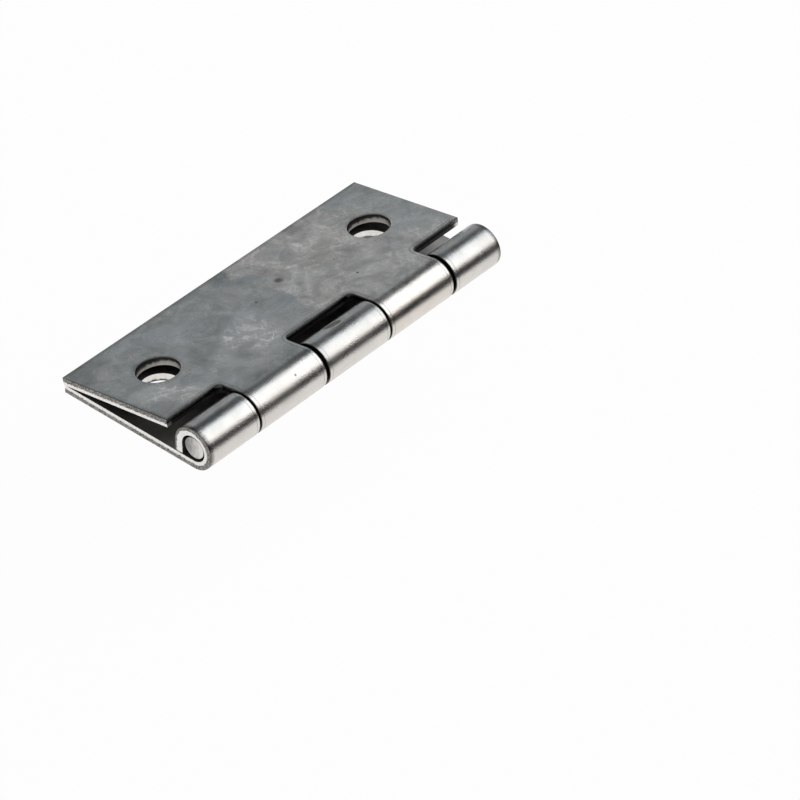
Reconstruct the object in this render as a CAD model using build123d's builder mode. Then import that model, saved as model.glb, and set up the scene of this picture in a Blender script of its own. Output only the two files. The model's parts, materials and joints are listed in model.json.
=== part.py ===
from build123d import *
import math
import os

# Butt hinge of two rolled sheet steel leaves on a plain wire pin, lying closed on its lower leaf.
# X runs along the pin, Y from the pin towards the leaves' free edges, Z up. The origin lies on the
# lower mounting face, midway between its two fixing holes. All sizes are in millimetres.

# Sheet and pin
hinge_length = 60.0
leaf_width = 24.25  # pin axis to free edge
sheet = 1.3
pin_diameter = 3.4
pin_clearance = 0.35  # all round the pin in the rolled bore
pin_recess = 0.2  # each pin end below the barrel's end face
pin_edge = 0.1  # bevel of the cropped pin ends

# Roll of the barrel and the blanked outline
tip_gap = 0.2  # end of the roll to the leaf's inner face
die_roll = 0.15  # edge break that blanking leaves all along the outline of the outer face
notch_corner = 1.0
notch_clearance = 0.38  # swinging roll to the bottom of the notch it turns in

# Knuckles along the pin
end_knuckle = 9.65
middle_knuckle = 12.5
knuckle_gap = 0.5  # between neighbouring knuckles, with the leaves centred
end_shift = 0.15  # how far the upper leaf has slid along the pin in that gap

# Fixing holes, one line of two in each leaf
hole_diameter = 6.3
hole_spacing = 43.4
hole_line = 13.9  # pin axis to the line of holes

# Punch mark that stakes the pin in the middle knuckle
stake_diameter = 2.4
stake_depth = 0.18
stake_angle = 68.0  # round the barrel, from the leaf's own direction
stake_offset = -0.75  # along the pin, from the middle of the knuckle
stake_nib = 0.6  # radius of the swelling inside the bore
stake_seat = 0.02  # nib to pin

# Closed pose
closing_gap = 0.12  # between the two leaves at their free edges

# Sizes that follow
pin_radius = pin_diameter / 2
bore_radius = pin_radius + pin_clearance
outer_radius = bore_radius + sheet
swing_radius = math.hypot(outer_radius, bore_radius - tip_gap)
notch_depth = swing_radius + notch_clearance
end_knuckle_side = hinge_length / 2 - end_knuckle
middle_knuckle_side = middle_knuckle / 2
closing_angle = math.asin((bore_radius - closing_gap) / math.hypot(leaf_width, bore_radius)) + math.atan2(
    bore_radius, leaf_width
)

# Each leaf has its own frame on the pin axis: x along the pin, y along the leaf, z from its mounting
# face towards the other leaf. The upper leaf is turned over and drops until the free edges meet.
lower_frame = Plane(origin=(0, -hole_line, outer_radius))
upper_frame = Plane(
    origin=(-end_shift, -hole_line, outer_radius),
    x_dir=(-1, 0, 0),
    z_dir=(0, -math.sin(closing_angle), -math.cos(closing_angle)),
)

# Stretches along the pin that are cut out of each leaf for the other leaf's knuckles
past_end = hinge_length
lower_notches = [
    (-end_knuckle_side, -middle_knuckle_side),
    (middle_knuckle_side, end_knuckle_side),
]
upper_notches = [
    (-past_end, knuckle_gap - end_knuckle_side),
    (-middle_knuckle_side - knuckle_gap, middle_knuckle_side + knuckle_gap),
    (end_knuckle_side - knuckle_gap, past_end),
]


def is_outer_skin(face, frame):
    """True for the mounting face, the outside of the roll and the outside of its straight tip."""
    middle = frame.to_local_coords(face.center(CenterOf.BOUNDING_BOX))
    if face.geom_type == GeomType.CYLINDER:
        return math.isclose(face.radius, outer_radius) and abs(face.axis_of_rotation.direction.X) > 0.5
    return math.isclose(middle.Z, -outer_radius) or math.isclose(middle.Y, outer_radius)


def rolled_leaf(frame, notches):
    """One leaf: its section across the pin, drawn out along it, then notched, pierced and edge-broken."""
    tip_end = tip_gap - bore_radius
    with BuildPart() as leaf:
        with BuildSketch(Plane(frame.location * Plane.YZ.location)):
            with BuildLine():
                mounting_face = Line((leaf_width, -outer_radius), (0, -outer_radius))
                outer_roll = CenterArc((0, 0), outer_radius, -90, -270)
                outer_tip = Line(outer_roll @ 1, (outer_radius, tip_end))
                Line(outer_tip @ 1, (bore_radius, tip_end))
                Line((bore_radius, tip_end), (bore_radius, 0))
                bore = CenterArc((0, 0), bore_radius, 0, 270)
                inner_face = Line(bore @ 1, (leaf_width, -bore_radius))
                Line(inner_face @ 1, mounting_face @ 0)
            make_face()
        extrude(amount=hinge_length / 2, both=True)
        with BuildSketch(frame) as blanking:
            for start, end in notches:
                with Locations(((start + end) / 2, notch_depth)):
                    Rectangle(end - start, notch_depth + 2 * outer_radius, align=(Align.CENTER, Align.MAX))
            fillet(blanking.vertices().group_by(Axis.Y)[-1], notch_corner)
            with Locations((0, hole_line)):
                with GridLocations(hole_spacing, 0, 2, 1):
                    Circle(hole_diameter / 2)
        extrude(amount=2 * outer_radius, both=True, mode=Mode.SUBTRACT)
        skin = leaf.faces().filter_by(lambda face: is_outer_skin(face, frame))
        rims = ShapeList()
        for face in skin:
            neighbours = ShapeList(other for other in skin if other is not face).edges()
            rims += [edge for edge in face.edges() if not any(edge.is_same(other) for other in neighbours)]
        chamfer(rims, die_roll)
    return leaf.part


os.makedirs("parts", exist_ok=True)

# Lower leaf: three knuckles, the middle one staked onto the pin
stake_radius = ((stake_diameter / 2) ** 2 + stake_depth**2) / (2 * stake_depth)
stake_plane = Plane(lower_frame.location * Location((stake_offset, 0, 0), (stake_angle, 0, 0)))
with BuildPart() as three_knuckle_leaf:
    add(rolled_leaf(lower_frame, lower_notches))
    with Locations(stake_plane.location * Location((0, outer_radius - stake_depth + stake_radius, 0))):
        Sphere(stake_radius, mode=Mode.SUBTRACT)
    with Locations(stake_plane.location * Location((0, pin_radius + stake_seat + stake_nib, 0))):
        Sphere(stake_nib)
three_knuckle_leaf.part.label = "three_knuckle_leaf"
export_step(three_knuckle_leaf.part, "parts/three_knuckle_leaf.step")

# Upper leaf: two knuckles that turn on the pin
with BuildPart() as two_knuckle_leaf:
    add(rolled_leaf(upper_frame, upper_notches))
two_knuckle_leaf.part.label = "two_knuckle_leaf"
export_step(two_knuckle_leaf.part, "parts/two_knuckle_leaf.step")

# Pin: cropped wire, a little shorter than the barrel
with BuildPart() as hinge_pin:
    with BuildSketch(Plane(lower_frame.location * Plane.YZ.location)):
        Circle(pin_radius)
    extrude(amount=hinge_length / 2 - pin_recess, both=True)
    chamfer(hinge_pin.edges().filter_by(GeomType.CIRCLE), pin_edge)
hinge_pin.part.label = "hinge_pin"
export_step(hinge_pin.part, "parts/hinge_pin.step")
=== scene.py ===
import json
import math

import bpy
from mathutils import Matrix, Vector
from mathutils.geometry import delaunay_2d_cdt


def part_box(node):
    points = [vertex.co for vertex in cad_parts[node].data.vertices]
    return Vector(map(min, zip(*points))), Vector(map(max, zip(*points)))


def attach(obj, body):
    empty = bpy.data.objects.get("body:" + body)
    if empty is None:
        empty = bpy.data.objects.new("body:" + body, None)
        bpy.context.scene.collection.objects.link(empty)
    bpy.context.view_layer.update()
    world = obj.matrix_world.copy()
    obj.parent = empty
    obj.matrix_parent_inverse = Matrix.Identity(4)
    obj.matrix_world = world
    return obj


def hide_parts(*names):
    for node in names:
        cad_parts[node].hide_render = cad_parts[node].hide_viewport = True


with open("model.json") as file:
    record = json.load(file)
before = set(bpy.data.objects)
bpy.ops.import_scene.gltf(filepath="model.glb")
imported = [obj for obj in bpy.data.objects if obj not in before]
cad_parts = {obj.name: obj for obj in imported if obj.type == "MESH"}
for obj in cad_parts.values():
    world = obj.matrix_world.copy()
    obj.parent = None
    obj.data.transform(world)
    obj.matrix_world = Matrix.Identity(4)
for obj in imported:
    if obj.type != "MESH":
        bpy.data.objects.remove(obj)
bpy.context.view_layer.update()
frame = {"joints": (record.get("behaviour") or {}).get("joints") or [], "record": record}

# Lower leaf: one blank of bright mild steel sheet, pressed out with its notches and two fixing holes
# and then rolled back on itself into three knuckles. The press rounds off every rim of the outer skin
# and leaves a sheared edge with sharp corners on the inside. It lies on its mounting face.
mm = 0.001
pin_axis = Vector(frame["joints"][0]["pos_m"])
lower_low, lower_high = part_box("three_knuckle_leaf")
half_length = (lower_high.x - lower_low.x) / 2
leaf_width = lower_high.y - pin_axis.y
barrel_radius = pin_axis.z - lower_low.z
sheet = 1.3 * mm
tip_length = 1.85 * mm  # straight end of the roll, down to just above the leaf
notch_depth = 4.207 * mm
notch_corner = 1.0 * mm
hole_radius = 3.15 * mm
hole_line = -pin_axis.y
hole_offset = 21.7 * mm
die_roll_width = 0.6 * mm  # shallow sag of the outer skin towards every rim
die_roll_drop = 0.04 * mm
hole_roll_share = 0.5  # the sag round a hole is narrower than along the outline
rim_corner = 0.06 * mm
skin_margin = 0.2 * mm  # flat strip inside the die roll that keeps the plate's shading flat
shear_share = 0.5  # part of the sheet that the press cut before the rest broke away
break_taper = 0.03 * mm
roll_length = barrel_radius * math.radians(270)
roll_step = barrel_radius * math.radians(3)
roll_rows = [-step * roll_step for step in range(-6, 91)]  # cross lines on which the sheet bends
strip_end = -roll_length - tip_length
corner_steps = 8
hole_steps = 96
edge_pitch = 1.2 * mm  # between points along a straight edge
dent_pitch = 0.2 * mm  # finer, where the knuckle is staked
in_line = 0.0001 * mm  # points that differ by less lie on one straight edge
apart = 0.01 * mm  # a cross line nearer than this to a corner is left out there
sharp_angle = math.radians(35)  # edges that turn by more stay crisp
on_skin, on_edge, on_wall = range(3)  # order of a leaf's three finishes


def blank_loops(knuckles):
    """The blank's outline and its holes as (along the pin, along the strip) points, steel on the left."""
    corners = [] if knuckles[0][0] <= -half_length else [(-half_length, notch_depth)]
    for start, end in knuckles:
        corners += [(start, notch_depth)] if start > -half_length else []
        corners += [(start, strip_end), (end, strip_end)]
        corners += [(end, notch_depth)] if end < half_length else []
    corners += [(half_length, notch_depth)] if knuckles[-1][1] < half_length else []
    corners += [(half_length, leaf_width), (-half_length, leaf_width)]
    corners = [Vector(corner) for corner in corners]
    turned = []
    for before, corner, after in zip(corners[-1:] + corners, corners, corners[1:] + corners[:1]):
        come, leave = (corner - before).normalized(), (after - corner).normalized()
        if come.cross(leave) > 0:
            turned.append(corner)
            continue
        centre = corner + notch_corner * (leave - come)
        for step in range(corner_steps + 1):
            turn = math.radians(90 * step / corner_steps)
            turned.append(centre - notch_corner * (leave * math.cos(turn) - come * math.sin(turn)))
    outline = []
    for here, there in zip(turned, turned[1:] + turned[:1]):
        outline.append(here)
        if abs(here.x - there.x) < in_line:
            first, last = sorted((here.y, there.y))
            passed = [row for row in roll_rows if first + apart < row < last - apart]
            outline += [Vector((here.x, row)) for row in sorted(passed, reverse=here.y > there.y)]
        elif abs(here.y - there.y) < in_line:
            pieces = int((there - here).length / edge_pitch)
            outline += [here.lerp(there, piece / pieces) for piece in range(1, pieces)]
    loops = [outline]
    for side in (-1, 1):
        middle = Vector((side * hole_offset, hole_line))
        turns = [-math.tau * step / hole_steps for step in range(hole_steps)]
        loops.append([middle + hole_radius * Vector((math.cos(t), math.sin(t))) for t in turns])
    return loops


def rolled_point(along, strip, depth):
    """Where a point of the flat blank goes once the sheet is rolled, with the pin axis as origin."""
    if strip >= 0:
        return Vector((along, strip, depth - barrel_radius))
    if strip > -roll_length:
        turn, radius = -strip / barrel_radius, barrel_radius - depth
        return Vector((along, -radius * math.sin(turn), -radius * math.cos(turn)))
    return Vector((along, barrel_radius - depth, roll_length + strip))


def rolled_leaf(name, knuckles, placing, dent, worn_from, punched):
    """A whole leaf: both skins, with the die roll and sheared edge round them, all rolled and placed."""
    core_inset = die_roll_width + skin_margin
    sag = die_roll_width - rim_corner
    profile = [(core_inset, 0), (die_roll_width, 0)]
    profile += [(die_roll_width - sag * share, die_roll_drop * share**2) for share in (0.25, 0.5, 0.75, 1)]
    for turn in (30, 60, 90):
        round_off = math.radians(turn)
        profile.append(
            (rim_corner * (1 - math.sin(round_off)), die_roll_drop + rim_corner * (1 - math.cos(round_off)))
        )
    sheared = len(profile) - 1
    profile += [(0, shear_share * sheet), (break_taper, sheet), (core_inset, sheet)]
    inner_skin = len(profile) - 1

    # The skins lie inside the die roll and have cross lines on the knuckles, so that they can be rolled.
    core, loop_edges, rims = [], [], []
    for loop in blank_loops(knuckles):
        first = len(core)
        for before, here, after in zip(loop[-1:] + loop, loop, loop[1:] + loop[:1]):
            come, leave = (here - before).normalized(), (after - here).normalized()
            inwards = Vector((-come.y - leave.y, come.x + leave.x)) / (1 + come.dot(leave))
            rims.append((here, inwards))
            core.append(here + inwards * core_inset)
        count = len(loop)
        loop_edges.append([(first + i, first + (i + 1) % count) for i in range(count)])
    clear = core_inset + 0.15 * mm  # keeps the cross lines off the die roll
    for start, end in knuckles:
        staked = dent is not None and start < 0 < end
        width = end - start - 2 * clear
        columns = int(width / (dent_pitch if staked else edge_pitch))
        for column in range(columns + 1):
            along = start + clear + width * column / columns
            core += [Vector((along, row)) for row in roll_rows if row > strip_end + clear]
    keep_inside, merge_below = 1, 1e-6
    flat_core = [point / mm for point in core]
    found = delaunay_2d_cdt(flat_core, sum(loop_edges, []), [], keep_inside, merge_below)
    cells, sources = found[2], found[3]
    triangles = [[sources[corner][0] for corner in cell] for cell in cells]
    in_holes = [{i for i, _ in edges} for edges in loop_edges[1:]]
    triangles = [face for face in triangles if not any(hole.issuperset(face) for hole in in_holes)]
    blank = [(p.x, p.y, 0.0) for p in core] + [(p.x, p.y, sheet) for p in core]
    from_rim = [core_inset] * len(blank)
    faces = [face[::-1] for face in triangles] + [[len(core) + i for i in face] for face in triangles]
    finish = [on_skin] * len(faces)

    # The die roll and the sheared edge join them, ring by ring round the outline and the two holes.
    reaches = (1, hole_roll_share, hole_roll_share)
    for cut, reach, edges in zip((on_edge, on_wall, on_wall), reaches, loop_edges):
        ring = [i for i, _ in edges]
        for level, (inset, depth) in enumerate(profile[1:], 1):
            if level < inner_skin:
                deeper = list(range(len(blank), len(blank) + len(ring)))
                for i, _ in edges:
                    point = rims[i][0] + rims[i][1] * inset * reach
                    blank.append((point.x, point.y, depth))
                    from_rim.append(inset)
            else:
                deeper = [len(core) + i for i, _ in edges]
            for i in range(len(ring)):
                after = (i + 1) % len(ring)
                faces.append((ring[i], ring[after], deeper[after], deeper[i]))
                finish.append(cut if sheared < level < inner_skin else on_skin)
            ring = deeper

    mesh = bpy.data.meshes.new(name)
    sunk = [dent(x, s) if dent and n < sheet / 2 else 0.0 for x, s, n in blank]
    places = [placing @ rolled_point(x, s, n + low) for (x, s, n), low in zip(blank, sunk)]
    mesh.from_pydata(places, [], faces)
    mesh.shade_smooth()
    mesh.set_sharp_from_angle(angle=sharp_angle)
    mesh.polygons.foreach_set("material_index", finish)
    for label, points in (("blank", blank), ("wear", [Vector(point) + worn_from for point in blank])):
        layer = mesh.attributes.new(label, "FLOAT_VECTOR", "POINT")
        layer.data.foreach_set("vector", [value for point in points for value in point])
    for label, values in (("from_rim", from_rim), ("sunk", sunk), ("punched", [punched] * len(blank))):
        mesh.attributes.new(label, "FLOAT", "POINT").data.foreach_set("value", values)
    leaf = bpy.data.objects.new(name, mesh)
    bpy.context.scene.collection.objects.link(leaf)
    return leaf


def linear(code):
    """An sRGB hex colour as the linear colour that the shader takes."""
    parts = [int(code[i : i + 2], 16) / 255 for i in (1, 3, 5)]
    return [p / 12.92 if p <= 0.04045 else ((p + 0.055) / 1.055) ** 2.4 for p in parts] + [1.0]


def add_node(tree, kind, sockets, **settings):
    """One node with its settings, and its sockets set to a value or linked from another node.

    A socket goes by its name, or by its number where a node has several of that name or none.
    """
    node = tree.nodes.new(kind)
    for setting, value in settings.items():
        setattr(node, setting, value)
    for socket, value in sockets.items():
        if isinstance(value, bpy.types.NodeSocket):
            tree.links.new(value, node.inputs[socket])
        else:
            node.inputs[socket].default_value = value
    return node


# Bright cold-rolled steel: a grey metal that blurs what it mirrors into a soft sheen. Handling has
# clouded and stained it, rubbed one half warm and left scuffs, strokes and specks. Painted shade darkens
# the rims, creases, punch mark, inner skin and parts of the roll, and a painted pool of light lies on the
# inner skin near one end. The grain and the strokes are drawn coarser than real, to show.
skin_steel = bpy.data.materials.new("bright_cold_rolled_steel")
skin_steel.use_nodes = True
tree = skin_steel.node_tree
shader = tree.nodes["Principled BSDF"]
blank = add_node(tree, "ShaderNodeAttribute", {}, attribute_name="blank").outputs["Vector"]
wear = add_node(tree, "ShaderNodeAttribute", {}, attribute_name="wear").outputs["Vector"]
from_rim = add_node(tree, "ShaderNodeAttribute", {}, attribute_name="from_rim").outputs["Fac"]
sunk = add_node(tree, "ShaderNodeAttribute", {}, attribute_name="sunk").outputs["Fac"]
parts = add_node(tree, "ShaderNodeSeparateXYZ", {"Vector": blank})
along, strip, depth = (parts.outputs[axis] for axis in "XYZ")
on_flat = add_node(
    tree, "ShaderNodeMapRange", {"Value": strip, "From Min": -1.5 * mm, "From Max": 0}
).outputs["Result"]

# Clouding, from the broadest patches of handling down to the grain of the rolled sheet.
handling = add_node(
    tree,
    "ShaderNodeTexNoise",
    {"Vector": wear, "Scale": 1 / (9 * mm), "Detail": 4, "Roughness": 0.55, "Distortion": 0.8},
).outputs["Color"]
handling = add_node(tree, "ShaderNodeSeparateColor", {"Color": handling})
stains = add_node(
    tree,
    "ShaderNodeTexNoise",
    {"Vector": wear, "Scale": 1 / (5 * mm), "Detail": 4, "Roughness": 0.5, "Distortion": 0.9},
).outputs["Fac"]
stains = add_node(
    tree, "ShaderNodeMapRange", {"Value": stains, "From Min": 0.51, "From Max": 0.53, "To Max": -0.16}
).outputs["Result"]
smears = add_node(
    tree,
    "ShaderNodeTexNoise",
    {"Vector": wear, "Scale": 1 / (4 * mm), "Detail": 5, "Roughness": 0.56, "Distortion": 1.0},
).outputs["Fac"]
smeared = add_node(
    tree,
    "ShaderNodeMapRange",
    {"Value": smears, "From Min": 0.25, "From Max": 0.75, "Steps": 6, "To Min": 0.25, "To Max": 0.75},
    interpolation_type="STEPPED",
).outputs["Result"]
mottle = add_node(
    tree,
    "ShaderNodeTexNoise",
    {"Vector": wear, "Scale": 1 / (1.1 * mm), "Detail": 4, "Roughness": 0.7, "Distortion": 0.5},
).outputs["Fac"]
grain = add_node(
    tree, "ShaderNodeTexNoise", {"Vector": wear, "Scale": 1 / (0.19 * mm), "Detail": 2, "Roughness": 0.6}
).outputs["Fac"]

# The rubbed half, with a ragged border, and the spots that are scuffed most: where each lies on the
# blank and how far it reaches, in millimetres, and how strong it is.
border = add_node(tree, "ShaderNodeSeparateXYZ", {"Vector": wear}).outputs["X"]
for ragged, reach in ((handling.outputs["Red"], 14 * mm), (mottle, 4 * mm)):
    border = add_node(
        tree, "ShaderNodeMath", {0: ragged, 1: reach, 2: border}, operation="MULTIPLY_ADD"
    ).outputs["Value"]
rubbed = add_node(
    tree, "ShaderNodeMapRange", {"Value": border, "From Min": 7.5 * mm, "From Max": 7.1 * mm}
).outputs["Result"]
rubbed_end = add_node(
    tree, "ShaderNodeMapRange", {"Value": border, "From Min": -17 * mm, "From Max": -8 * mm}
).outputs["Result"]
rubbed = add_node(
    tree, "ShaderNodeMath", {0: rubbed, 1: rubbed_end}, operation="MULTIPLY"
).outputs["Value"]
scuffs = 0.0
for spot_along, spot_strip, radius, most in (
    (8, 8.5, 5.2, 1.5),
    (25, 8.2, 4.2, 1.0),
    (-17, 9.5, 2.6, 0.8),
    (26.5, 20, 1.8, 0.5),
    (-18.5, 20.2, 5, 0.8),
    (-24.5, 7.5, 4.5, 0.5),
):
    away = add_node(
        tree,
        "ShaderNodeVectorMath",
        {0: wear, 1: (spot_along * mm, spot_strip * mm, 0)},
        operation="DISTANCE",
    ).outputs["Value"]
    spot = add_node(
        tree,
        "ShaderNodeMapRange",
        {"Value": away, "From Min": radius * mm, "From Max": 0.2 * radius * mm, "To Max": most},
    ).outputs["Result"]
    scuffs = add_node(tree, "ShaderNodeMath", {0: scuffs, 1: spot}, operation="MAXIMUM").outputs["Value"]
scuffed = add_node(tree, "ShaderNodeMath", {0: rubbed, 1: 0.45}, operation="MULTIPLY").outputs["Value"]
scuffed = add_node(tree, "ShaderNodeMath", {0: scuffs, 1: scuffed}, operation="MAXIMUM").outputs["Value"]
scuffed = add_node(
    tree, "ShaderNodeMapRange", {"Value": scuffed, "From Max": 1.5, "To Min": 0.1, "To Max": 1.3}
).outputs["Result"]

# Strokes that cross in three directions, in clumps, on the flat alone and most where it is scuffed.
scratches = 0.0
for turn, length, spread in ((20, 4.5, 0.85), (-50, 3.6, 0.75), (80, 3.2, 0.85)):
    lie = add_node(
        tree,
        "ShaderNodeMapping",
        {
            "Vector": wear,
            "Rotation": (0, 0, math.radians(turn)),
            "Scale": (length * mm, spread * mm, 1),
        },
        vector_type="TEXTURE",
    ).outputs["Vector"]
    scratch = add_node(
        tree, "ShaderNodeTexNoise", {"Vector": lie, "Scale": 1, "Detail": 1, "Distortion": 1.0}
    ).outputs["Fac"]
    scratch = add_node(
        tree, "ShaderNodeMapRange", {"Value": scratch, "From Min": 0.59, "From Max": 0.62, "To Max": 0.55}
    ).outputs["Result"]
    scratches = add_node(
        tree, "ShaderNodeMath", {0: scratches, 1: scratch}, operation="ADD"
    ).outputs["Value"]
clumps = add_node(
    tree, "ShaderNodeMapRange", {"Value": smears, "From Min": 0.47, "From Max": 0.52, "To Min": 0.25}
).outputs["Result"]
for share in (scuffed, clumps, on_flat):
    scratches = add_node(
        tree, "ShaderNodeMath", {0: scratches, 1: share}, operation="MULTIPLY"
    ).outputs["Value"]

# Tone: the clouding, wear and strokes, over a base that is darker at one end, with painted shade just before
# the roll starts and further round the roll.
varied = -1.85
for pattern, gain in (
    (smeared, 1.6),
    (mottle, 0.6),
    (handling.outputs["Green"], 0.9),
    (stains, 1.0),
    (grain, 0.6),
):
    varied = add_node(
        tree, "ShaderNodeMath", {0: pattern, 1: gain, 2: varied}, operation="MULTIPLY_ADD"
    ).outputs["Value"]
strength = add_node(
    tree, "ShaderNodeMapRange", {"Value": rubbed, "To Min": 0.58, "To Max": 1.3}
).outputs["Result"]
tone = add_node(
    tree,
    "ShaderNodeMapRange",
    {"Value": along, "From Min": 30 * mm, "From Max": -30 * mm, "To Min": 0.27, "To Max": 0.34},
).outputs["Result"]
for pattern, gain in ((varied, strength), (scuffs, 0.16), (rubbed, 0.17), (scratches, 1.0)):
    tone = add_node(
        tree, "ShaderNodeMath", {0: pattern, 1: gain, 2: tone}, operation="MULTIPLY_ADD"
    ).outputs["Value"]
# Painted shade: the flat darkens just before the roll starts.
painted_bend_shade = add_node(
    tree,
    "ShaderNodeMapRange",
    {"Value": strip, "From Min": 3 * mm, "From Max": 0.8 * mm, "To Max": -0.3},
).outputs["Result"]
by_barrel = add_node(
    tree,
    "ShaderNodeMapRange",
    {"Value": strip, "From Min": 22 * mm, "From Max": 2 * mm, "To Min": 0.2, "To Max": 0.4},
).outputs["Result"]
for change in (painted_bend_shade, by_barrel):
    tone = add_node(tree, "ShaderNodeMath", {0: tone, 1: change}, operation="ADD").outputs["Value"]
calm = add_node(
    tree, "ShaderNodeMapRange", {"Value": tone, "To Min": 0.54, "To Max": 0.875}
).outputs["Result"]
# Painted shade: the roll darkens further round, past its top.
painted_far_roll_shade = add_node(
    tree,
    "ShaderNodeMapRange",
    {"Value": strip, "From Min": -7.5 * mm, "From Max": -9.5 * mm, "To Max": -0.2},
).outputs["Result"]
calm = add_node(tree, "ShaderNodeMath", {0: calm, 1: painted_far_roll_shade}, operation="ADD").outputs["Value"]
tone = add_node(
    tree, "ShaderNodeMapRange", {"Value": tone, "From Max": 1.6, "To Min": 0.05}
).outputs["Result"]
tone = add_node(tree, "ShaderNodeMix", {"Factor": on_flat, 2: calm, 3: tone}, data_type="FLOAT").outputs[0]
steel = add_node(
    tree,
    "ShaderNodeMix",
    {"Factor": tone, 6: linear("#6c7577"), 7: linear("#f4f5f4")},
    data_type="RGBA",
).outputs[2]

# Tint: bluish patches on the flat, and a warm one on the rubbed half, the scuffs and the worn roll.
cool_share = add_node(
    tree,
    "ShaderNodeMapRange",
    {"Value": handling.outputs["Blue"], "From Min": 0.5, "From Max": 0.6, "To Max": 0.3},
).outputs["Result"]
cool_share = add_node(
    tree, "ShaderNodeMath", {0: cool_share, 1: on_flat}, operation="MULTIPLY"
).outputs["Value"]
steel = add_node(
    tree, "ShaderNodeMix", {"Factor": cool_share, 6: steel, 7: linear("#afbbc7")}, data_type="RGBA"
).outputs[2]
roll_start = add_node(
    tree,
    "ShaderNodeMapRange",
    {"Value": strip, "From Min": -1 * mm, "From Max": -3.5 * mm, "To Max": 0.55},
).outputs["Result"]
roll_top = add_node(
    tree, "ShaderNodeMapRange", {"Value": strip, "From Min": -9.5 * mm, "From Max": -7.5 * mm}
).outputs["Result"]
warm_share = add_node(
    tree, "ShaderNodeMath", {0: roll_start, 1: roll_top}, operation="MULTIPLY"
).outputs["Value"]
for rubbing, gain in ((rubbed, 0.25), (scuffs, 0.1)):
    warm_share = add_node(
        tree, "ShaderNodeMath", {0: rubbing, 1: gain, 2: warm_share}, operation="MULTIPLY_ADD"
    ).outputs["Value"]
steel = add_node(
    tree, "ShaderNodeMix", {"Factor": warm_share, 6: steel, 7: linear("#dcd3ca")}, data_type="RGBA"
).outputs[2]

# A few dark specks, given in the same way.
for spot_along, spot_strip, radius, most in (
    (-4, 15.2, 0.9, 0.8),
    (-11.3, 6.7, 0.28, 0.9),
    (1.9, 13.9, 0.35, 0.6),
    (11.7, -2.7, 0.25, 0.8),
):
    away = add_node(
        tree,
        "ShaderNodeVectorMath",
        {0: wear, 1: (spot_along * mm, spot_strip * mm, 0)},
        operation="DISTANCE",
    ).outputs["Value"]
    speck = add_node(
        tree,
        "ShaderNodeMapRange",
        {"Value": away, "From Min": radius * mm, "From Max": 0.4 * radius * mm, "To Max": most},
    ).outputs["Result"]
    steel = add_node(
        tree, "ShaderNodeMix", {"Factor": speck, 6: steel, 7: linear("#4a4947")}, data_type="RGBA"
    ).outputs[2]

# Painted shade: a dark line in the crease where the die roll starts, fainter round the holes and none at the
# leaf's ends, then dark on the rims themselves, the barrel's ends, the punch mark and the free edge.
crease = add_node(
    tree, "ShaderNodeMath", {0: from_rim, 1: die_roll_width, 2: 0.08 * mm}, operation="COMPARE"
).outputs["Value"]
from_middle = add_node(tree, "ShaderNodeMath", {0: along}, operation="ABSOLUTE").outputs["Value"]
inside = add_node(
    tree, "ShaderNodeMapRange", {"Value": from_middle, "From Min": 29.3 * mm, "From Max": 29 * mm}
).outputs["Result"]
past_hole = add_node(tree, "ShaderNodeCombineXYZ", {"X": from_middle, "Y": strip}).outputs["Vector"]
past_hole = add_node(
    tree, "ShaderNodeVectorMath", {0: past_hole, 1: (hole_offset, hole_line, 0)}, operation="DISTANCE"
).outputs["Value"]
past_hole = add_node(
    tree,
    "ShaderNodeMapRange",
    {"Value": past_hole, "From Min": 1.3 * hole_radius, "From Max": 1.4 * hole_radius, "To Min": 0.3},
).outputs["Result"]
creased = add_node(
    tree, "ShaderNodeMapRange", {"Value": on_flat, "To Min": 0.5, "To Max": 0.75}
).outputs["Result"]
for share in (inside, past_hole, grain, creased):
    crease = add_node(
        tree, "ShaderNodeMath", {0: crease, 1: share}, operation="MULTIPLY"
    ).outputs["Value"]
# Painted shade on the rims, where the rounded steel turns from the light.
painted_shade = add_node(
    tree,
    "ShaderNodeMapRange",
    {"Value": from_rim, "From Min": 0.14 * mm, "From Max": 0.05 * mm, "To Max": 0.85},
).outputs["Result"]
ragged_end = add_node(
    tree, "ShaderNodeMath", {0: grain, 1: 1.2 * mm, 2: from_middle}, operation="MULTIPLY_ADD"
).outputs["Value"]
barrel_end = add_node(
    tree,
    "ShaderNodeMapRange",
    {"Value": ragged_end, "From Min": 29.8 * mm, "From Max": 30.4 * mm, "To Max": 0.75},
).outputs["Result"]
rolled = add_node(
    tree, "ShaderNodeMapRange", {"Value": strip, "From Min": 1 * mm, "From Max": -1 * mm}
).outputs["Result"]
barrel_end = add_node(
    tree, "ShaderNodeMath", {0: barrel_end, 1: rolled}, operation="MULTIPLY"
).outputs["Value"]
# Painted shade in the punch mark, darkest where it is sunk most.
punch_mark_shade = add_node(
    tree, "ShaderNodeMapRange", {"Value": sunk, "From Max": 0.05 * mm, "To Max": 0.7}
).outputs["Result"]
free_edge = add_node(
    tree,
    "ShaderNodeMapRange",
    {"Value": strip, "From Min": 23.7 * mm, "From Max": 24.1 * mm, "To Max": 0.6},
).outputs["Result"]
for dirt in (crease, barrel_end, punch_mark_shade, free_edge):
    painted_shade = add_node(tree, "ShaderNodeMath", {0: painted_shade, 1: dirt}, operation="MAXIMUM").outputs["Value"]
steel = add_node(
    tree, "ShaderNodeMix", {"Factor": painted_shade, 6: steel, 7: linear("#403f3d")}, data_type="RGBA"
).outputs[2]
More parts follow.
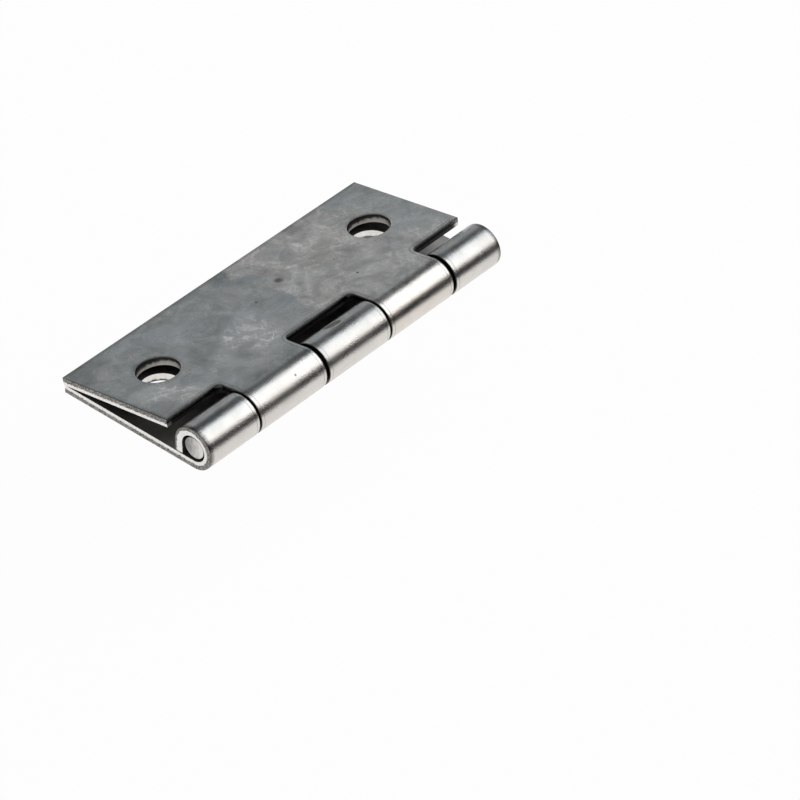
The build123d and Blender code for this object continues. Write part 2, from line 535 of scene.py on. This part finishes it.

# Painted shade: a dull dark film over the inner skin, which lies in shade between the leaves, with a
# painted pool of light on it in one place near the end.
on_inner_skin = add_node(
    tree,
    "ShaderNodeMapRange",
    {"Value": depth, "From Min": 0.9 * sheet, "From Max": 0.99 * sheet, "To Max": 0.85},
).outputs["Result"]
inner_mottle = add_node(
    tree, "ShaderNodeMapRange", {"Value": smears, "From Min": 0.35, "From Max": 0.65}
).outputs["Result"]
painted_inner_shade_and_light = add_node(
    tree,
    "ShaderNodeMix",
    {"Factor": inner_mottle, 6: linear("#72706b"), 7: linear("#8a8882")},
    data_type="RGBA",
).outputs[2]
# Painted light: a pale patch on the inner skin near the end, where light falls in through the notch.
from_light_patch = add_node(
    tree, "ShaderNodeVectorMath", {0: blank, 1: (26 * mm, 4 * mm, sheet)}, operation="DISTANCE"
).outputs["Value"]
from_light_patch = add_node(
    tree, "ShaderNodeMath", {0: smears, 1: 8 * mm, 2: from_light_patch}, operation="MULTIPLY_ADD"
).outputs["Value"]
painted_light_patch = add_node(
    tree, "ShaderNodeMapRange", {"Value": from_light_patch, "From Min": 11 * mm, "From Max": 7 * mm}
).outputs["Result"]
painted_inner_shade_and_light = add_node(
    tree, "ShaderNodeMix", {"Factor": painted_light_patch, 6: painted_inner_shade_and_light, 7: linear("#f4f2ee")}, data_type="RGBA"
).outputs[2]
steel = add_node(tree, "ShaderNodeMix", {"Factor": on_inner_skin, 6: steel, 7: painted_inner_shade_and_light}, data_type="RGBA").outputs[2]

# Surface: duller in patches and on the inner skin, a little wavy, with the grain rougher on the roll.
dulled = add_node(
    tree,
    "ShaderNodeMapRange",
    {"Value": handling.outputs["Red"], "From Min": 0.3, "From Max": 0.7, "To Min": 0.22, "To Max": 0.32},
).outputs["Result"]
dulled = add_node(
    tree, "ShaderNodeMath", {0: on_inner_skin, 1: 0.35, 2: dulled}, operation="MULTIPLY_ADD"
).outputs["Value"]
wavy = add_node(
    tree, "ShaderNodeBump", {"Height": handling.outputs["Red"], "Strength": 1.0, "Distance": 0.03 * mm}
).outputs["Normal"]
roughened = add_node(
    tree, "ShaderNodeMapRange", {"Value": on_flat, "To Min": 0.027 * mm, "To Max": 0.018 * mm}
).outputs["Result"]
grained = add_node(
    tree, "ShaderNodeBump", {"Height": grain, "Strength": 1.0, "Distance": roughened, "Normal": wavy}
).outputs["Normal"]
tree.links.new(steel, shader.inputs["Base Color"])
tree.links.new(dulled, shader.inputs["Roughness"])
tree.links.new(grained, shader.inputs["Normal"])
shader.inputs["Metallic"].default_value = 1.0

# Sheared steel: the smooth dark band that the press cuts, then the pale rough band that breaks away,
# wider towards the tip of the roll. Painted shade blackens the edges that face each other along the
# barrel, up to a grey line just under the rim. The scoring is drawn coarser than real, to show.
edge_steel = bpy.data.materials.new("sheared_steel_edge")
edge_steel.use_nodes = True
tree = edge_steel.node_tree
shader = tree.nodes["Principled BSDF"]
blank = add_node(tree, "ShaderNodeAttribute", {}, attribute_name="blank").outputs["Vector"]
parts = add_node(tree, "ShaderNodeSeparateXYZ", {"Vector": blank})
along, strip, depth = (parts.outputs[axis] for axis in "XYZ")
scoring = add_node(
    tree, "ShaderNodeTexNoise", {"Vector": blank, "Scale": 1 / (0.35 * mm), "Detail": 3, "Roughness": 0.65}
).outputs["Fac"]
ragged = add_node(
    tree,
    "ShaderNodeMapRange",
    {"Value": scoring, "From Min": 0.3, "From Max": 0.7, "To Min": -0.12 * mm, "To Max": 0.12 * mm},
).outputs["Result"]
towards_tip = add_node(
    tree,
    "ShaderNodeMapRange",
    {"Value": strip, "From Min": -9 * mm, "From Max": -15 * mm, "To Max": 0.4 * mm},
).outputs["Result"]
reached = depth
for shift in (ragged, towards_tip):
    reached = add_node(tree, "ShaderNodeMath", {0: reached, 1: shift}, operation="ADD").outputs["Value"]
broken = add_node(
    tree, "ShaderNodeMapRange", {"Value": reached, "From Min": 0.56 * sheet, "From Max": 0.64 * sheet}
).outputs["Result"]
speckle = add_node(
    tree, "ShaderNodeTexNoise", {"Vector": blank, "Scale": 1 / (0.16 * mm), "Detail": 2, "Roughness": 0.7}
).outputs["Fac"]
speckle = add_node(
    tree, "ShaderNodeMapRange", {"Value": speckle, "From Min": 0.38, "From Max": 0.62}
).outputs["Result"]
cut = add_node(
    tree,
    "ShaderNodeMix",
    {"Factor": speckle, 6: linear("#363533"), 7: linear("#a3a09b")},
    data_type="RGBA",
).outputs[2]
torn = add_node(
    tree,
    "ShaderNodeMix",
    {"Factor": speckle, 6: linear("#dedbd7"), 7: linear("#fefcfa")},
    data_type="RGBA",
).outputs[2]
edge_colour = add_node(
    tree, "ShaderNodeMix", {"Factor": broken, 6: cut, 7: torn}, data_type="RGBA"
).outputs[2]
# Painted shade: black on the edges that face each other along the barrel, where they lie in shade.
painted_gap_shade = add_node(
    tree, "ShaderNodeMapRange", {"Value": strip, "From Min": 4.6 * mm, "From Max": 4.3 * mm}
).outputs["Result"]
from_middle = add_node(tree, "ShaderNodeMath", {0: along}, operation="ABSOLUTE").outputs["Value"]
between = add_node(
    tree,
    "ShaderNodeMapRange",
    {"Value": from_middle, "From Min": 29.6 * mm, "From Max": 28.9 * mm, "To Max": 0.92},
).outputs["Result"]
below_rim = add_node(
    tree, "ShaderNodeMapRange", {"Value": reached, "From Min": 0.16 * sheet, "From Max": 0.4 * sheet}
).outputs["Result"]
for share in (between, below_rim):
    painted_gap_shade = add_node(
        tree, "ShaderNodeMath", {0: painted_gap_shade, 1: share}, operation="MULTIPLY"
    ).outputs["Value"]
edge_colour = add_node(
    tree,
    "ShaderNodeMix",
    {"Factor": painted_gap_shade, 6: edge_colour, 7: linear("#2b2a28")},
    data_type="RGBA",
).outputs[2]
edge_dulled = add_node(
    tree, "ShaderNodeMapRange", {"Value": broken, "To Min": 0.25, "To Max": 0.42}
).outputs["Result"]
scored = add_node(
    tree, "ShaderNodeBump", {"Height": scoring, "Strength": 1.0, "Distance": 0.03 * mm}
).outputs["Normal"]
tree.links.new(edge_colour, shader.inputs["Base Color"])
tree.links.new(edge_dulled, shader.inputs["Roughness"])
tree.links.new(scored, shader.inputs["Normal"])
shader.inputs["Metallic"].default_value = 1.0

# Pierced steel: the walls of the fixing holes, painted near black as shade where the punch cut and pale
# brown where the slug broke out. The dark band reaches further down on one side of each hole and further
# in the upper leaf, where the pale band is painted darker as shade too. The scoring is drawn coarser
# than real, to show.
# Shares of the wall in the dark band, which is painted shade; larger in the upper leaf.
lower_punched = 0.12  # share of the wall that the punch cut
upper_punched = 0.38
wall_steel = bpy.data.materials.new("pierced_steel_wall")
wall_steel.use_nodes = True
tree = wall_steel.node_tree
shader = tree.nodes["Principled BSDF"]
blank = add_node(tree, "ShaderNodeAttribute", {}, attribute_name="blank").outputs["Vector"]
parts = add_node(tree, "ShaderNodeSeparateXYZ", {"Vector": blank})
along, strip, depth = (parts.outputs[axis] for axis in "XYZ")
punched = add_node(tree, "ShaderNodeAttribute", {}, attribute_name="punched").outputs["Fac"]
shaded_torn = add_node(
    tree,
    "ShaderNodeMapRange",
    {"Value": punched, "From Min": lower_punched, "From Max": upper_punched, "To Max": 0.55},
).outputs["Result"]
side = add_node(tree, "ShaderNodeMath", {0: along}, operation="SIGN").outputs["Value"]
across = add_node(
    tree, "ShaderNodeMath", {0: side, 1: -hole_offset, 2: along}, operation="MULTIPLY_ADD"
).outputs["Value"]
across = add_node(tree, "ShaderNodeMath", {0: across, 1: strip}, operation="ADD").outputs["Value"]
# Painted shade: the dark band reaches further down the wall on one side of each hole.
deeper = add_node(
    tree,
    "ShaderNodeMapRange",
    {
        "Value": across,
        "From Min": hole_line - 1.13 * hole_radius,
        "From Max": hole_line + 1.41 * hole_radius,
        "To Min": 0.75 * sheet,
        "To Max": 1.7 * sheet,
    },
).outputs["Result"]
cut_depth = add_node(
    tree, "ShaderNodeMath", {0: punched, 1: deeper}, operation="MULTIPLY"
).outputs["Value"]
scoring = add_node(
    tree, "ShaderNodeTexNoise", {"Vector": blank, "Scale": 1 / (0.5 * mm), "Detail": 4, "Roughness": 0.7}
).outputs["Fac"]
ragged = add_node(
    tree,
    "ShaderNodeMapRange",
    {"Value": scoring, "From Min": 0.3, "From Max": 0.7, "To Min": -0.15 * mm, "To Max": 0.15 * mm},
).outputs["Result"]
reached = add_node(tree, "ShaderNodeMath", {0: depth, 1: ragged}, operation="ADD").outputs["Value"]
reached = add_node(
    tree, "ShaderNodeMath", {0: reached, 1: cut_depth}, operation="SUBTRACT"
).outputs["Value"]
broken = add_node(
    tree, "ShaderNodeMapRange", {"Value": reached, "From Min": -0.08 * mm, "From Max": 0.25 * mm}
).outputs["Result"]
# Painted shade: the band that the punch cut is near black.
cut = add_node(
    tree,
    "ShaderNodeMix",
    {"Factor": scoring, 6: linear("#141313"), 7: linear("#4a4845")},
    data_type="RGBA",
).outputs[2]
torn = add_node(
    tree,
    "ShaderNodeMix",
    {"Factor": scoring, 6: linear("#c8c2bb"), 7: linear("#fffdfa")},
    data_type="RGBA",
).outputs[2]
# Painted shade: the pale band is darkened in the upper leaf.
torn = add_node(
    tree, "ShaderNodeMix", {"Factor": shaded_torn, 6: torn, 7: linear("#3b3833")}, data_type="RGBA"
).outputs[2]
wall_colour = add_node(
    tree, "ShaderNodeMix", {"Factor": broken, 6: cut, 7: torn}, data_type="RGBA"
).outputs[2]
scored = add_node(
    tree, "ShaderNodeBump", {"Height": scoring, "Strength": 1.0, "Distance": 0.03 * mm}
).outputs["Normal"]
tree.links.new(wall_colour, shader.inputs["Base Color"])
tree.links.new(scored, shader.inputs["Normal"])
shader.inputs["Metallic"].default_value = 1.0
shader.inputs["Roughness"].default_value = 0.35

# The middle knuckle is staked onto the pin by one blow of a long, slightly slanted punch.
stake_length = 3.2 * mm
stake_width = 1.4 * mm
stake_depth = 0.16 * mm
stake_slant = math.radians(11)
stake_strip = -barrel_radius * math.radians(202)
stake_along = -0.75 * mm
lip_height = 0.1 * stake_depth
lip_middle = 1.2  # out from the mark's middle, where its outline is at 1
lip_spread = 0.15


def stake_dent(along, strip):
    """Depth of the punch mark that stakes the middle knuckle onto the pin, with its raised lip."""
    lie = Vector((along - stake_along, strip - stake_strip))
    lie.rotate(Matrix.Rotation(-stake_slant, 2))
    away = math.hypot(lie.x / stake_length, lie.y / stake_width) * 2
    if away < 1:
        return stake_depth * (1 - away**2)
    return -lip_height * math.exp(-(((away - lip_middle) / lip_spread) ** 2))


lower_knuckles = [(-half_length, -20.35 * mm), (-6.25 * mm, 6.25 * mm), (20.35 * mm, half_length)]
lower_wear = Vector((90, 40, 0)) * mm  # another part of the wear pattern than on the upper leaf
lower_leaf = rolled_leaf(
    "lower_leaf", lower_knuckles, Matrix.Translation(pin_axis), stake_dent, lower_wear, lower_punched
)
leaf_finishes = (skin_steel, edge_steel, wall_steel)
for finish in leaf_finishes:
    lower_leaf.data.materials.append(finish)
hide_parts("three_knuckle_leaf")
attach(lower_leaf, "lower_leaf")

# Upper leaf: the same sheet blanked with two knuckles, which turn between the other three. It is turned
# over on the pin and drops until its free edge all but meets the lower leaf. Its outer face lies on top
# and shows most of the wear.
upper_knuckles = [(-19.85 * mm, -6.75 * mm), (6.75 * mm, 19.85 * mm)]
upper_low, upper_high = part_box("two_knuckle_leaf")
end_shift = (upper_low.x + upper_high.x) / 2
upper_holes = next(m for m in frame["record"]["mounts"] if m["name"] == "upper_leaf_holes")
closing = math.asin(upper_holes["axis"][1])
turned_over = Matrix.Rotation(math.pi - closing, 4, "X") @ Matrix.Rotation(math.pi, 4, "Z")
turned_over = Matrix.Translation(pin_axis + Vector((end_shift, 0, 0))) @ turned_over
upper_wear = Vector((0, 0, 0))
upper_leaf = rolled_leaf("upper_leaf", upper_knuckles, turned_over, None, upper_wear, upper_punched)
for finish in leaf_finishes:
    upper_leaf.data.materials.append(finish)
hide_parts("two_knuckle_leaf")
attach(upper_leaf, "upper_leaf")

# Pin: a length of plain drawn wire, cropped at both ends and pushed through all five knuckles. Its ends
# sit just below the barrel's end faces and are duller than the leaves.
pin_low, pin_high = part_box("hinge_pin")
pin_radius = (pin_high.z - pin_low.z) / 2
pin_bevel = 0.1 * mm
pin_steps = 72
pin_profile = [(0, pin_radius * share) for share in (0.25, 0.5, 0.75)]
pin_profile += [(0, pin_radius - 1.3 * pin_bevel)]
for turn in (0, 30, 60, 90):
    round_off = math.radians(turn)
    pin_profile.append(
        (pin_bevel * (1 - math.cos(round_off)), pin_radius - pin_bevel * (1 - math.sin(round_off)))
    )
pin_profile += [(1.5 * pin_bevel, pin_radius)]
pin_stations = [(pin_low.x + inset, radius) for inset, radius in pin_profile]
pin_stations += [(pin_high.x - inset, radius) for inset, radius in reversed(pin_profile)]
pin_points = [(pin_low.x, 0, 0)]
for place_along, radius in pin_stations:
    for step in range(pin_steps):
        turn = math.tau * step / pin_steps
        pin_points.append((place_along, radius * math.cos(turn), radius * math.sin(turn)))
pin_points.append((pin_high.x, 0, 0))
pin_faces = []
for step in range(pin_steps):
    after = (step + 1) % pin_steps
    pin_faces.append((0, 1 + after, 1 + step))
    for station in range(len(pin_stations) - 1):
        near, far = 1 + pin_steps * station, 1 + pin_steps * (station + 1)
        pin_faces.append((near + step, near + after, far + after, far + step))
    pin_faces.append((far + step, far + after, len(pin_points) - 1))
pin_mesh = bpy.data.meshes.new("pin")
pin_mesh.from_pydata([pin_axis * Vector((0, 1, 1)) + Vector(p) for p in pin_points], [], pin_faces)
pin_mesh.shade_smooth()
pin = bpy.data.objects.new("pin", pin_mesh)
bpy.context.scene.collection.objects.link(pin)

# Drawn steel wire: grey and slightly dull, with the crop's ridges across its ends, and painted shade
# that darkens its ends towards the leaves. The ridges are drawn coarser than real, to show.
pin_steel = bpy.data.materials.new("drawn_steel_wire")
pin_steel.use_nodes = True
tree = pin_steel.node_tree
shader = tree.nodes["Principled BSDF"]
place = add_node(tree, "ShaderNodeTexCoord", {}).outputs["Object"]
across = add_node(tree, "ShaderNodeMapping", {"Vector": place, "Scale": (1, 1, 0.45)}).outputs["Vector"]
ridges = add_node(
    tree, "ShaderNodeTexNoise", {"Vector": across, "Scale": 1 / (0.4 * mm), "Detail": 3}
).outputs["Fac"]
wire_parts = add_node(tree, "ShaderNodeSeparateXYZ", {"Vector": place})
# Painted shade: the ends darken towards the side of the leaves, on top of the ridges.
ridges_and_side_shade = add_node(
    tree,
    "ShaderNodeMapRange",
    {
        "Value": wire_parts.outputs["Y"],
        "From Min": pin_axis.y + pin_radius,
        "From Max": pin_axis.y - pin_radius,
        "To Min": -0.7,
        "To Max": 0.5,
    },
).outputs["Result"]
ridges_and_side_shade = add_node(
    tree, "ShaderNodeMath", {0: ridges, 1: 1.1, 2: ridges_and_side_shade}, operation="MULTIPLY_ADD"
).outputs["Value"]
wire_colour = add_node(
    tree,
    "ShaderNodeMix",
    {"Factor": ridges_and_side_shade, 6: linear("#8f8e8b"), 7: linear("#e6e4e0")},
    data_type="RGBA",
).outputs[2]
wire_dulled = add_node(
    tree, "ShaderNodeMapRange", {"Value": ridges, "To Min": 0.3, "To Max": 0.5}
).outputs["Result"]
ridged = add_node(
    tree, "ShaderNodeBump", {"Height": ridges, "Strength": 1.0, "Distance": 0.01 * mm}
).outputs["Normal"]
tree.links.new(wire_colour, shader.inputs["Base Color"])
tree.links.new(wire_dulled, shader.inputs["Roughness"])
tree.links.new(ridged, shader.inputs["Normal"])
shader.inputs["Metallic"].default_value = 1.0
pin.data.materials.append(pin_steel)
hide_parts("hinge_pin")
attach(pin, "lower_leaf")

# Floor: a plain white studio sweep, painted matt. It lies below the reach of the upper leaf, so that the
# hinge shows at every angle it opens to. Steel mirrors it as white as the eye sees it.
floor_size = 4.0
floor_height = pin_axis.z - leaf_width - 1 * mm
floor_white = 0.97  # share of plain white; the rest is lit and keeps the shadow
floor_mesh = bpy.data.meshes.new("floor")
floor_mesh.from_pydata(
    [(x * floor_size, y * floor_size, floor_height) for x, y in ((-1, -1), (1, -1), (1, 1), (-1, 1))],
    [],
    [(0, 1, 2, 3)],
)
floor = bpy.data.objects.new("floor", floor_mesh)
bpy.context.scene.collection.objects.link(floor)
floor_paint = bpy.data.materials.new("matt_white_sweep")
floor_paint.use_nodes = True
tree = floor_paint.node_tree
tree.nodes.remove(tree.nodes["Principled BSDF"])
matt = add_node(tree, "ShaderNodeBsdfDiffuse", {"Color": linear("#f2f2f2")}).outputs["BSDF"]
glow = add_node(tree, "ShaderNodeEmission", {"Strength": 1.0}).outputs["Emission"]
ray = add_node(tree, "ShaderNodeLightPath", {})
seen = ray.outputs["Is Camera Ray"]
for mirrored in (ray.outputs["Is Glossy Ray"], ray.outputs["Is Transmission Ray"]):
    seen = add_node(tree, "ShaderNodeMath", {0: seen, 1: mirrored}, operation="MAXIMUM").outputs["Value"]
seen = add_node(tree, "ShaderNodeMath", {0: seen, 1: floor_white}, operation="MULTIPLY").outputs["Value"]
swept = add_node(tree, "ShaderNodeMixShader", {0: seen, 1: matt, 2: glow}).outputs["Shader"]
tree.links.new(swept, tree.nodes["Material Output"].inputs["Surface"])
floor.data.materials.append(floor_paint)

# Light: one large softbox on a stand, high on the right of the table, so near and wide that it lies on
# the barrel as one long soft highlight.
softbox_distance = 1.2
softbox_middle = Vector((0.582, -0.3845, 0.717)).normalized()
softbox_up = Vector((0, 0.881, 0.4726))
softbox_side = softbox_up.cross(softbox_middle).normalized()
softbox = bpy.data.lights.new("softbox", "AREA")
softbox.shape = "RECTANGLE"
softbox.size = 1.1
softbox.size_y = 1.25
softbox.energy = 7.0
softbox_stand = bpy.data.objects.new("softbox", softbox)
softbox_axes = Matrix((softbox_side, softbox_up, softbox_middle)).transposed()
softbox_stand.matrix_world = Matrix.Translation(softbox_middle * softbox_distance) @ softbox_axes.to_4x4()
bpy.context.scene.collection.objects.link(softbox_stand)

# Black card: a long strip of matt board that stands on the floor to the right, out of the picture. It
# gives the barrel the dark line under its highlight.
card_way = Vector((0.588, -0.809, 0))
card_middle = card_way * 120 * mm
card_along = Vector((0.809, 0.588, 0)) * 300 * mm
card_top = Vector((0, 0, 30 * mm))
card_foot = Vector((0, 0, floor_height))
card_corners = [card_foot - card_along, card_foot + card_along, card_top + card_along, card_top - card_along]
card_mesh = bpy.data.meshes.new("black_card")
card_mesh.from_pydata([card_middle + corner for corner in card_corners], [], [(0, 1, 2, 3)])
card = bpy.data.objects.new("black_card", card_mesh)
bpy.context.scene.collection.objects.link(card)
card.visible_camera = False
card.visible_shadow = False
card_paint = bpy.data.materials.new("matt_black_card")
card_paint.use_nodes = True
shader = card_paint.node_tree.nodes["Principled BSDF"]
shader.inputs["Base Color"].default_value = linear("#2a2a2a")
shader.inputs["Roughness"].default_value = 0.8
card.data.materials.append(card_paint)

# Room: dim all round, with a pale wall behind the hinge that the flat of the leaf mirrors. The side away
# from the softbox and the ceiling are paler too, so that the hinge's other sides have light to mirror.
room = bpy.data.worlds.new("dim_room")
bpy.context.scene.world = room
room.use_nodes = True
tree = room.node_tree
towards = add_node(tree, "ShaderNodeTexCoord", {}).outputs["Generated"]
towards = add_node(tree, "ShaderNodeSeparateXYZ", {"Vector": towards})
wall = add_node(
    tree, "ShaderNodeMapRange", {"Value": towards.outputs["Y"], "From Min": -0.3, "From Max": 0.6}
).outputs["Result"]
wall_top = add_node(
    tree, "ShaderNodeMapRange", {"Value": towards.outputs["Z"], "From Min": 0.57, "From Max": 0.41}
).outputs["Result"]
skirting = add_node(
    tree,
    "ShaderNodeMapRange",
    {"Value": towards.outputs["Z"], "From Min": 0.1, "From Max": 0.4, "To Min": 0.15},
).outputs["Result"]
for fading in (wall_top, skirting):
    wall = add_node(tree, "ShaderNodeMath", {0: wall, 1: fading}, operation="MULTIPLY").outputs["Value"]
pale_side = add_node(
    tree,
    "ShaderNodeMapRange",
    {"Value": towards.outputs["X"], "From Min": 0.1, "From Max": -0.5, "To Max": 0.6},
).outputs["Result"]
ceiling = add_node(
    tree,
    "ShaderNodeMapRange",
    {"Value": towards.outputs["Z"], "From Min": 0.82, "From Max": 0.95, "To Max": 0.6},
).outputs["Result"]
for pale in (pale_side, ceiling):
    wall = add_node(tree, "ShaderNodeMath", {0: wall, 1: pale}, operation="MAXIMUM").outputs["Value"]
shade = add_node(
    tree,
    "ShaderNodeMix",
    {"Factor": wall, 6: linear("#464648"), 7: linear("#dddede")},
    data_type="RGBA",
).outputs[2]
tree.links.new(shade, tree.nodes["Background"].inputs["Color"])

# Camera: a long lens on a stand, looking down along the hinge from its near end, at the photograph's
# viewing angle and with everything in focus.
camera = bpy.data.cameras.new("camera")
camera.sensor_width = 36.0
camera.lens = 172.64
camera_stand = bpy.data.objects.new("camera", camera)
camera_stand.location = (-306.59 * mm, -291.68 * mm, 333.07 * mm)
camera_stand.rotation_euler = (math.radians(50.593), 0, math.radians(-48.914))
bpy.context.scene.collection.objects.link(camera_stand)
bpy.context.scene.camera = camera_stand
bpy.context.scene.view_settings.view_transform = "Standard"
